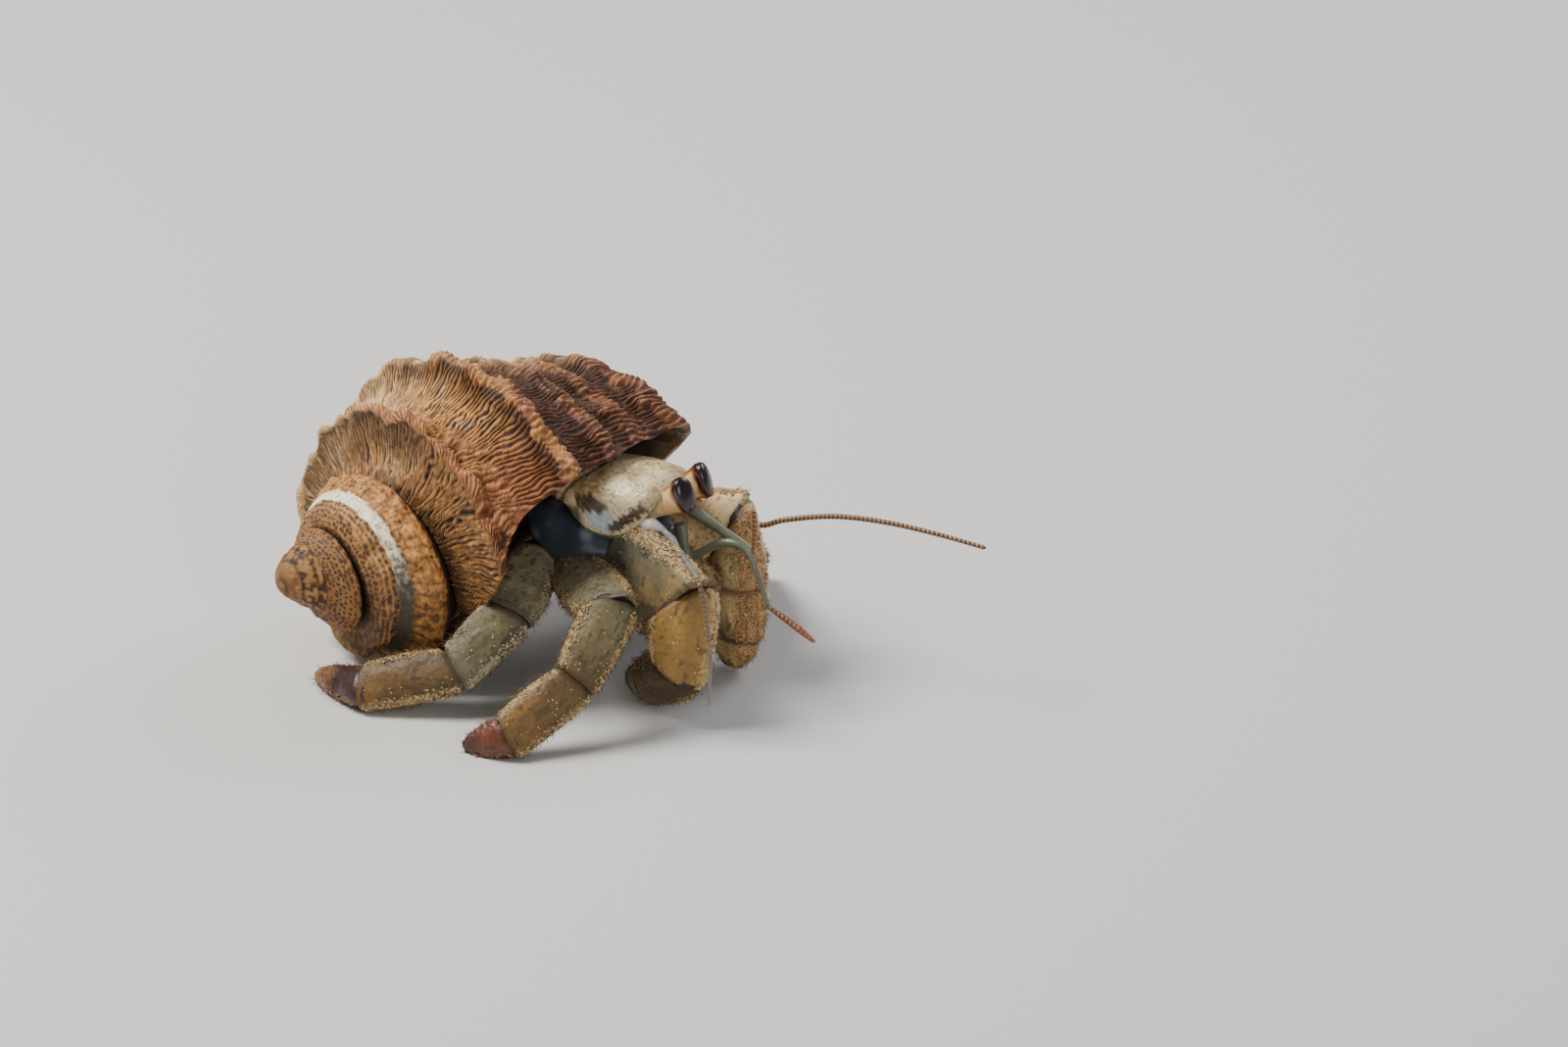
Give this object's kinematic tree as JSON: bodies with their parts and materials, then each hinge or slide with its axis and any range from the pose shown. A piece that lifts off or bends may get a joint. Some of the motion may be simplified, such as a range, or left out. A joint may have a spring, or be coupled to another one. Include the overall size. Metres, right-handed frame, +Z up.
{
  "type": "land hermit crab",
  "caption": "Life-size land hermit crab walking in a worn spiral sea-snail shell, as a still museum model that stands on its feet.",
  "frame": {"origin": "on the floor, under the middle of the model's box", "axes": "+X the way the crab faces, +Y its left side, +Z up"},
  "size_m": [0.0707, 0.053, 0.0322],
  "materials": {
    "shell": "worn, matt, limy shell in ochre, pink-brown and cream",
    "flesh": "soft bare skin",
    "shield": "tan horny plate with brown speckles",
    "body_grey": "slate-blue, slightly glossy",
    "eyestalk": "cream and peach, glossy",
    "cornea": "near black, glossy",
    "mouth_limb": "horny, hairy edges",
    "feeler_stem": "grey-green, smooth",
    "feeler_lash": "red-brown, ringed",
    "claw_right": "olive and ochre, granular and bristly",
    "claw_left": "tan with orange specks, granular and bristly",
    "leg": "grey-olive with pale granules and bristles",
    "leg_tip": "red-brown with a dark groove, horny point"
  },
  "bodies": {
    "root": {"abdomen": "flesh", "antenna_left_lash": "feeler_lash", "antenna_left_stem": "feeler_stem", "antenna_right_lash": "feeler_lash", "antenna_right_stem": "feeler_stem", "antennule_left_lash": "feeler_lash", "antennule_left_stem": "feeler_stem", "antennule_right_lash": "feeler_lash", "antennule_right_stem": "feeler_stem", "cheliped_left_carpus": "claw_left", "cheliped_left_finger": "claw_left", "cheliped_left_merus": "claw_left", "cheliped_left_palm": "claw_left", "cheliped_right_carpus": "claw_right", "cheliped_right_finger": "claw_right", "cheliped_right_merus": "claw_right", "cheliped_right_palm": "claw_right", "eye_left": "cornea", "eye_right": "cornea", "eyestalk_left": "eyestalk", "eyestalk_right": "eyestalk", "leg2_left_carpus": "leg", "leg2_left_dactylus": "leg_tip", "leg2_left_merus": "leg", "leg2_left_propodus": "leg", "leg2_right_carpus": "leg", "leg2_right_dactylus": "leg_tip", "leg2_right_merus": "leg", "leg2_right_propodus": "leg", "leg3_left_carpus": "leg", "leg3_left_dactylus": "leg_tip", "leg3_left_merus": "leg", "leg3_left_propodus": "leg", "leg3_right_carpus": "leg", "leg3_right_dactylus": "leg_tip", "leg3_right_merus": "leg", "leg3_right_propodus": "leg", "leg4_left_lower": "leg", "leg4_left_upper": "leg", "leg4_right_lower": "leg", "leg4_right_upper": "leg", "maxilliped_left_lower": "mouth_limb", "maxilliped_left_upper": "mouth_limb", "maxilliped_right_lower": "mouth_limb", "maxilliped_right_upper": "mouth_limb", "shell": "shell", "shield": "shield", "thorax": "body_grey"}
  },
  "joints": []
}
